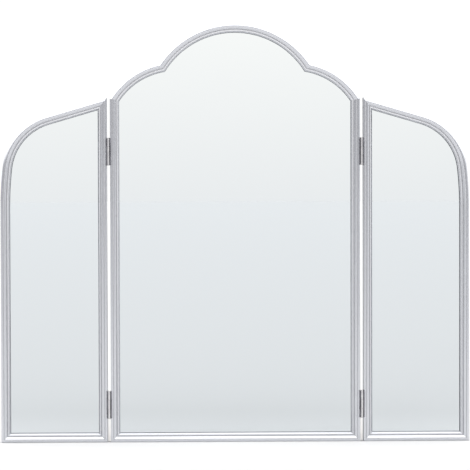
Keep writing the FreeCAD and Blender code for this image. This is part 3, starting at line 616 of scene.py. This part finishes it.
def centre_outline(inset):
    """The centre panel's whole outline at each inset, anticlockwise from the left bottom corner."""
    bottom, stile_top, cusp = centre_corners(inset)
    sides = straight_run(bottom, stile_top, (1, 0), [0, 1])
    share = np.linspace(0, 1, outline_steps)
    shoulder = shoulder_run(inset, share)
    crown = arc_run(crown_centre, crown_radius - inset, bearing(crown_centre, cusp), np.pi / 2, share)
    half = np.concatenate([sides, shoulder[1:], crown[1:]])
    return np.concatenate([half, mirror_rows(half)[1:]])


def wing_outline(inset):
    """The left wing's outline at each inset, from its outer bottom corner over the top."""
    corner, side_end, foot, head = wing_corners(inset)
    share = np.linspace(0, 1, outline_steps)
    return np.concatenate([
        straight_run(corner, side_end, (1, 0), [0]),
        arc_run(side_centre, side_radius - inset, np.pi, bend_start, share),
        arc_run(bow_centre, bow_radius - inset, bend_start, bend_end, share)[1:],
        straight_run(head, foot, (-1, 0), [0, 1]),
    ])


def add_sheet(name, panel, node, edges, material):
    """A flat sheet as rings of its panel's outline: edges holds the inset and the depth of each ring."""
    insets, depths = np.array(edges).T
    rows = centre_outline(insets) if panel == "center" else wing_outline(insets)
    if panel == "right_wing":
        rows = mirror_rows(rows)
    points = np.stack([rows[..., 0], np.broadcast_to(depths, rows.shape[:2]), rows[..., 1]], axis=-1)
    quads, ends = ring_faces(len(insets), len(rows))
    return add_piece(name, points.transpose(1, 0, 2), [*quads, *ends], material,
                     frame["nodes"][node]["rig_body"], [node])


pane_silver = make_pane_silver()
pane_edge = rebate_wall + pane_margin
for panel in ("center", "left_wing", "right_wing"):
    node = panel + "_mirror_glass"
    front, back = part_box(node)[0][1] + silvering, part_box(node)[1][1] - sheet_gap
    rings = [(pane_edge, front), (pane_edge, back)]
    add_sheet(panel + "_silvered_pane", panel, node, rings, pane_silver)

# ------------------------------------------------------------------ hinges
# Small butt hinges of pressed steel, nickel plated. Each leaf is one strip that is rolled round the pin
# into its knuckles and lies flat on a stile's side; the joint line of the roll shows on its back.
leaf_thickness, leaf_depth = 1.2 * MM, 14 * MM
barrel_radius, bore_radius = 2.5 * MM, 1.15 * MM
roll_slot = 0.15 * MM               # between the rolled end and the leaf
knuckle_gap, notch_back, leaf_round = 0.3 * MM, 2.8 * MM, 0.12 * MM
hinge_gap = -panel_half - wing_hinge
hinge_half = (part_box("left_lower_fixed_leaf")[1][2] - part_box("left_lower_fixed_leaf")[0][2]) / 2
nickel_light, nickel_dark = (0.70, 0.69, 0.70), (0.60, 0.59, 0.61)
# Painted shade: near-black on the barrel's flanks beside the gap, less behind it and on the flat of the
# leaf, where shade falls.
nickel_painted_shade = (0.020, 0.020, 0.026)
barrel_shade_start, barrel_shade_rise = 29, 5     # degrees round the barrel, counted from its front
barrel_shade_end, barrel_shade_fall = 75, 20
barrel_shade_rest, leaf_shade = 0.2, 0.25  # painted shade that stays behind the barrel and on the flat of the leaf


def sheet_solid(outer, inner, levels, cells):
    """Bent sheet metal: the outer and inner line of its section, at several levels, and the kept cells.

    Point i of each line stands at every level; walls close the sheet round its kept cells.
    """
    count, rows = len(outer), levels.shape[-1]
    line = np.stack([outer, inner])[:, :, None]
    height = np.broadcast_to(levels, (2, count, rows))
    points = np.concatenate([np.broadcast_to(line, (2, count, rows, 2)), height[..., None]], axis=-1)
    near, far = np.arange(2 * count * rows).reshape(2, count, rows)
    kept = np.pad(cells.astype(int), 1)
    along = kept[1:, 1:-1] - kept[:-1, 1:-1]
    rise = kept[1:-1, 1:] - kept[1:-1, :-1]
    end_walls = np.stack([near[:, :-1], near[:, 1:], far[:, 1:], far[:, :-1]], axis=-1)
    edge_walls = np.stack([near[:-1], far[:-1], far[1:], near[1:]], axis=-1)
    walls = [np.stack([side[:-1, :-1], side[1:, :-1], side[1:, 1:], side[:-1, 1:]], axis=-1)[cells]
             for side in (near, far)]
    faces = np.concatenate([walls[0], walls[1][:, ::-1], end_walls[along > 0], end_walls[along < 0][:, ::-1],
                            edge_walls[rise > 0], edge_walls[rise < 0][:, ::-1]])
    used, faces = np.unique(faces, return_inverse=True)
    return points.reshape(-1, 3)[used], faces.reshape(-1, 4)


def rolled_leaf():
    """Outer and inner line of a leaf from its rear edge to the end of its roll, as (across, back)."""
    far, near = hinge_gap / 2, hinge_gap / 2 - leaf_thickness
    end = near - roll_slot
    share = np.linspace(0, 1, 37)[:, None]

    def line(radius, across):
        first, last = math.acos(across / radius), math.acos(end / radius) - 2 * math.pi
        angle = first + (last - first) * share
        roll = radius * np.concatenate([np.cos(angle), np.sin(angle)], axis=1)
        return np.concatenate([[(across, leaf_depth), (across, notch_back)], roll])

    return line(barrel_radius, far), line(bore_radius, near)


def make_nickel():
    """Bright plate with faint cloudy stains, and painted shade on the barrel's flanks and on the leaf."""
    material, tree, place = new_material("nickel_plate")
    cloud, speck = noise(place, scale=160.0, detail=4.0), noise(place, scale=1500.0)
    painted_shade = add_node(tree, "ShaderNodeAttribute", {"attribute_name": "painted_shade"}, output="Fac")
    colour = mix_colours(cloud.between(0.3, 0.7), nickel_light, nickel_dark)
    # painted shade on the barrel's flanks and the leaf
    colour = mix_colours(painted_shade, colour, nickel_painted_shade)
    surface(tree, {"Base Color": colour, "Metallic": 1.0,
                   "Normal": bump(speck, strength=0.05, distance=0.00003),
                   "Roughness": 0.16 + cloud * 0.1 + painted_shade * 0.35})
    return material


def make_leaves():
    """Eight leaves. The fixed ones keep the outer knuckles and the moving ones the middle knuckle."""
    outer, inner = rolled_leaf()
    bottoms = hinge_half * (2 * np.arange(3) / 3 - 1) + knuckle_gap * np.arange(3) / 3
    knuckle = (2 * hinge_half - 2 * knuckle_gap) / 3
    levels = np.sort(np.concatenate([bottoms, bottoms + knuckle]))
    middle = np.array([False, False, True, False, False])
    for side in ("left", "right"):
        for height in ("lower", "upper"):
            low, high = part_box(f"{side}_{height}_hinge_pin")
            for kind in ("fixed", "moving"):
                keep = middle if kind == "moving" else np.array([True, False, False, False, True])
                cells = np.repeat(keep[None], len(outer) - 1, axis=0)
                cells[0] = True
                points, faces = sheet_solid(outer, inner, levels, cells)
                # painted shade: strongest on the barrel's flanks, less behind the barrel and on the leaf's
                # flat
                turn = np.degrees(np.arctan2(np.abs(points[:, 0]), -points[:, 1]))
                painted_shade = (np.clip((turn - barrel_shade_start) / barrel_shade_rise, 0, 1)
                          * np.clip((barrel_shade_end - turn) / barrel_shade_fall, barrel_shade_rest, 1))
                painted_shade[points[:, 1] > barrel_radius] = leaf_shade
                mirror = (1 if kind == "fixed" else -1) * (1 if side == "left" else -1)
                points = points * (mirror, 1, 1) + np.add(low, high) / 2
                name = f"{side}_{height}_{kind}_leaf"
                piece = add_piece("nickel_" + name, points, faces, nickel, frame["nodes"][name]["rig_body"],
                                  [name], leaf_round)
                mark = piece.data.attributes.new("painted_shade", "FLOAT", "POINT")
                mark.data.foreach_set("value", painted_shade.astype(np.float32))


nickel = make_nickel()
make_leaves()

# ------------------------------------------------------------------ hinge pins
# Cut steel wire with slightly domed, burnished ends that stand a little out of the knuckles. Each pin
# is held by the fixed leaf's two knuckles, and the moving leaf turns on it.
pin_light, pin_dark = (0.62, 0.61, 0.60), (0.46, 0.45, 0.44)
pin_dome, pin_sides = 0.5 * MM, 32
dome_flat = 4                       # degrees from the middle of the dome to its first ring


def turned(profile, around):
    """A profile of (radius, height) turned about the z axis: rings of points (r cos a, r sin a, h)."""
    angle = np.linspace(0, 2 * np.pi, around, endpoint=False)
    radius, height = np.asarray(profile).T[:, :, None] + 0 * angle
    return np.stack([radius * np.cos(angle), radius * np.sin(angle), height], axis=-1)


def make_pin_steel():
    """Drawn wire: fine lines along it, some lighter and some darker."""
    material, tree, place = new_material("pin_wire")
    line = noise(stretched(place, 4000.0, 4000.0, 120.0))
    surface(tree, {"Base Color": mix_colours(line, pin_light, pin_dark), "Metallic": 1.0,
                   "Roughness": 0.2 + line * 0.15})
    return material


pin_wire = make_pin_steel()
for side in ("left", "right"):
    for height in ("lower", "upper"):
        name = f"{side}_{height}_hinge_pin"
        low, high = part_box(name)
        wide, tall = (high[0] - low[0]) / 2, (high[2] - low[2]) / 2
        fall = np.radians(np.linspace(dome_flat, 90, 6))
        dome = np.stack([wide * np.sin(fall), tall - pin_dome * (1 - np.cos(fall))], axis=-1)
        profile = np.concatenate([dome, dome[::-1] * (1, -1)])
        quads, ends = ring_faces(len(profile), pin_sides)
        add_piece("turned_" + name, turned(profile, pin_sides) + np.add(low, high) / 2, [*quads, *ends],
                  pin_wire, "center_panel", [name])

# ------------------------------------------------------------------ hinge screws
# Small slotted countersunk self-tapping screws of nickel-plated steel, two to each leaf, driven until
# their heads stand a hair proud. Their slots stop at whatever angle the driver left them.
screw_rise, screw_back = 11 * MM, 8.5 * MM      # from the middle of the hinge and behind its pin
head_radius, shank_radius, shank_length = 2.1 * MM, 0.9 * MM, 6.5 * MM
head_dome, head_edge, head_depth = 0.22 * MM, 0.08 * MM, 1.3 * MM
head_steps, thread_steps, screw_sides = 22, 40, 72
slot_half, slot_depth, slot_lean = 0.28 * MM, 0.5 * MM, 0.15
thread_swell, thread_wave = 0.12, 0.11 * MM
point_length, point_radius = 0.6 * MM, 0.02 * MM
slot_turn, turn_step = 0.4, 1.1     # radians, and how much further each screw's slot has turned


def screw_rings():
    """Rings over the domed head, down its cone and along the shank, in a frame with +z out of the head.

    The head's rings sink by the slot's depth where they lie within half the slot's width of its line.
    """
    head = np.linspace(0.02, 1.0, head_steps) * head_radius
    top = np.stack([head, head_dome * (1 - (head / head_radius) ** 2)], axis=-1)
    height = np.linspace(-head_depth, point_length - shank_length, thread_steps)
    thread = np.stack([shank_radius * (1 + thread_swell * np.sin(height / thread_wave)), height], axis=-1)
    profile = np.concatenate([top, [(head_radius, -head_edge)], thread, [(point_radius, -shank_length)]])
    rings = turned(profile, screw_sides)
    slotted = rings[:head_steps + 1]
    inside = slot_half * (1 + slot_lean) - np.abs(slotted[..., 1])
    slot = np.clip(inside / (slot_half * (2 * slot_lean)), 0, 1)
    slotted[..., 2] -= slot * (slot_depth - head_edge)
    return rings


def make_screws(name, stations, body):
    """Screws as one piece: each station is a place, the side that its head faces and its slot's turn."""
    rings = screw_rings()
    quads, ends = ring_faces(*rings.shape[:2])
    points, faces = [], []
    for k, (place, facing, turn) in enumerate(stations):
        x, y = rings[..., 0], rings[..., 1]
        back, up = x * math.cos(turn) - y * math.sin(turn), x * math.sin(turn) + y * math.cos(turn)
        points.append(np.stack([facing * rings[..., 2], back, up], axis=-1).reshape(-1, 3) + place)
        shift = k * len(points[0])
        faces += [*(quads + shift), ends[0] + shift, ends[1] + shift]
    add_piece(name, np.concatenate(points), faces, nickel, body)


screw_places = {"center_panel": [], "left_wing": [], "right_wing": []}
for side, outward in (("left", -1), ("right", 1)):
    for height in ("lower", "upper"):
        low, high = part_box(f"{side}_{height}_hinge_pin")
        axis = np.add(low, high) / 2
        for rise in (-screw_rise, screw_rise):
            for body, facing in (("center_panel", outward), (side + "_wing", -outward)):
                across = facing * (leaf_thickness - hinge_gap / 2)
                slot_turn += turn_step
                screw_places[body].append((axis + (across, screw_back, rise), facing, slot_turn))
for body, stations in screw_places.items():
    make_screws(body + "_hinge_screws", stations, body)

# ------------------------------------------------------------------ tabs behind the boards
# Bent strips of zinc-plated steel with one leg fixed to the moulding's inner wall and an arm over the
# board, which presses board, foam and glass against the moulding's lip.
tab_thickness, tab_half, tab_reach, tab_foot = 0.8 * MM, 5 * MM, 6 * MM, 3 * MM
tab_bend, tab_corner, tab_standoff, tab_round = 0.4 * MM, 1.6 * MM, 0.15 * MM, 0.08 * MM
tip_turn, tip_share = 84, 0.995     # how much of a quarter circle each of the tip's corners makes
zinc_light, zinc_dark = (0.62, 0.64, 0.67), (0.44, 0.46, 0.50)


def make_zinc():
    """Zinc plate: pale crystals of differing brightness and a slightly pitted surface."""
    material, tree, place = new_material("zinc_plate")
    crystal = add_node(tree, "ShaderNodeTexVoronoi", None, {"Vector": place, "Scale": 900.0}, "Color")
    tone, pits = axis_of(crystal, "X"), noise(place, scale=2500.0, detail=3.0)
    surface(tree, {"Base Color": mix_colours(tone * 0.5 + pits * 0.5, zinc_dark, zinc_light),
                   "Metallic": 1.0, "Normal": bump(pits, strength=0.2, distance=0.00005),
                   "Roughness": 0.3 + tone * 0.12 + pits * 0.1})
    return material


def tab_solid():
    """A tab at the origin: its foot runs along y on a wall at x 0, its arm along x, its width along z.

    The arm's tip is rounded: past the start of its corners, half the width is that of a circle.
    """
    bend = np.radians(np.linspace(180, 270, 9))
    ray = np.stack([np.cos(bend), np.sin(bend)], axis=-1)
    centre = tab_thickness + tab_bend
    tip = tab_reach - tab_corner + tab_corner * np.sin(np.radians(np.linspace(0, tip_turn, 8)))
    run = np.concatenate([tip, [tab_reach]])
    outer = np.concatenate([[(0, tab_foot)], centre + centre * ray, np.stack([run, 0 * run], axis=-1)])
    inner = np.concatenate([[(tab_thickness, tab_foot)], centre + tab_bend * ray,
                            np.stack([run, 0 * run + tab_thickness], axis=-1)])
    past = np.clip(outer[:, 0] - (tab_reach - tab_corner), 0, tip_share * tab_corner)
    half = tab_half - tab_corner + np.sqrt(tab_corner ** 2 - past ** 2)
    levels = half[:, None] * np.linspace(-1, 1, 5)
    return sheet_solid(outer, inner, levels, np.ones((len(outer) - 1, 4), bool))


def make_tabs(panel, body, stations):
    """One tab for each station: a point (x, z) on the inner wall and the bearing of its inward side."""
    blank, blank_faces = tab_solid()
    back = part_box(panel + "_backing_board")[1][1]
    points, faces = [], []
    for k, ((x, z), inward) in enumerate(stations):
        along, up = math.cos(inward), math.sin(inward)
        reach = blank[:, 0] + tab_standoff
        points.append(np.stack([x + reach * along - blank[:, 2] * up, back + blank[:, 1],
                                z + reach * up + blank[:, 2] * along], axis=-1))
        faces += list(blank_faces + k * len(blank))
    add_piece(panel + "_bent_tabs", np.concatenate(points), faces, zinc, body,
              [panel + "_backing_tabs"], tab_round)


zinc = make_zinc()
up, left, right = math.pi / 2, math.pi, 0.0
wall_side = panel_half - rebate_wall
stations = [((x, rebate_wall), up) for x in (-panel_half / 2, panel_half / 2)]
for share in (0.2, 0.75):
    stations += [((-wall_side, share * stile_height), right), ((wall_side, share * stile_height), left)]
shoulder_turn = sum(bearing(shoulder_centre, point) for point in centre_corners(0.0)[1:]) / 2
point = shoulder_centre + (shoulder_radius - rebate_wall) * direction(shoulder_turn)
stations += [(point, shoulder_turn + math.pi), (point * (-1, 1), -shoulder_turn)]
for turn in (math.radians(60), math.radians(120)):
    stations.append((crown_centre + (crown_radius - rebate_wall) * direction(turn), turn + math.pi))
make_tabs("center", "center_panel", stations)

hinge_wall, outer_wall = wing_hinge - rebate_wall, wing_outer + rebate_wall
head = np.array(wing_corners(rebate_wall)[3])
touch = bow_centre + (bow_radius - rebate_wall) * direction(bend_end)
stations = [(((hinge_wall + outer_wall) / 2, rebate_wall), up)]
stations += [((hinge_wall, share * wing_height), left) for share in (0.3, 0.7)]
stations += [((outer_wall, share * side_centre[1]), right) for share in (0.2, 0.6)]
stations += [((head + touch) / 2, bend_end + math.pi)]
make_tabs("left_wing", "left_wing", stations)
make_tabs("right_wing", "right_wing", [((-x, z), math.pi - inward) for (x, z), inward in stations])

# ------------------------------------------------------------------ foam interleaves
# A one millimetre sheet of white polyethylene foam behind each pane, cut a little smaller than the
# board. It lies loose between the two and keeps the board from scratching the silver.
foam_margin, foam_edge = 0.9 * MM, 0.2 * MM
foam_light, foam_dark = (0.90, 0.90, 0.88), (0.74, 0.74, 0.72)


def make_foam():
    """Closed-cell foam: fine bubbles, each with a slightly different white."""
    material, tree, place = new_material("white_foam")
    cells = add_node(tree, "ShaderNodeTexVoronoi", None, {"Vector": place, "Scale": 1400.0}, "Distance")
    cloud = noise(place, scale=60.0, detail=3.0)
    surface(tree, {"Base Color": mix_colours(cells * 0.6 + cloud * 0.4, foam_light, foam_dark),
                   "Normal": bump(cells, strength=0.6, distance=0.0002), "Roughness": 0.85})
    return material


white_foam = make_foam()
outer = rebate_wall + foam_margin
inner = outer + foam_edge
for panel in ("center", "left_wing", "right_wing"):
    node = panel + "_foam_sheet"
    front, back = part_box(node)[0][1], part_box(node)[1][1]
    rings = [(inner, front + sheet_gap), (outer, front + foam_edge),
             (outer, back - foam_edge), (inner, back - sheet_gap)]
    piece = add_sheet(panel + "_foam_interleaf", panel, node, rings, white_foam)

# ------------------------------------------------------------------ backing boards
# Three millimetre hardboard with its smooth side out: brown wood fibre, hot pressed until its face is
# hard and faintly glossy, with darker and paler fibres all through it.
board_light, board_dark, fibre_pale = (0.19, 0.105, 0.056), (0.10, 0.052, 0.027), (0.31, 0.20, 0.115)


def make_hardboard():
    """Fibres in two directions over slow clouds. The fibres stand a hair proud of the pressed face."""
    material, tree, place = new_material("smooth_hardboard")
    fibres = (noise(stretched(place, 1500.0, 400.0, 260.0), detail=3.0) * 0.5
              + noise(stretched(place, 240.0, 400.0, 1700.0), detail=3.0) * 0.5)
    clouds = noise(place, scale=18.0, detail=5.0)
    colour = mix_colours(0.2 + clouds.between(0.1, 0.9) * 0.4 + fibres * 0.35, board_dark, board_light)
    colour = mix_colours(fibres.between(0.5, 0.66) * 0.6, colour, fibre_pale)
    surface(tree, {"Base Color": colour, "Normal": bump(fibres, strength=0.25, distance=0.0002),
                   "Roughness": 0.5 + fibres * 0.2})
    return material


hardboard = make_hardboard()
for name, node in frame["nodes"].items():
    if name.endswith("backing_board"):
        node.material_slots[0].material = hardboard

# ------------------------------------------------------------------ finish
low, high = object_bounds()
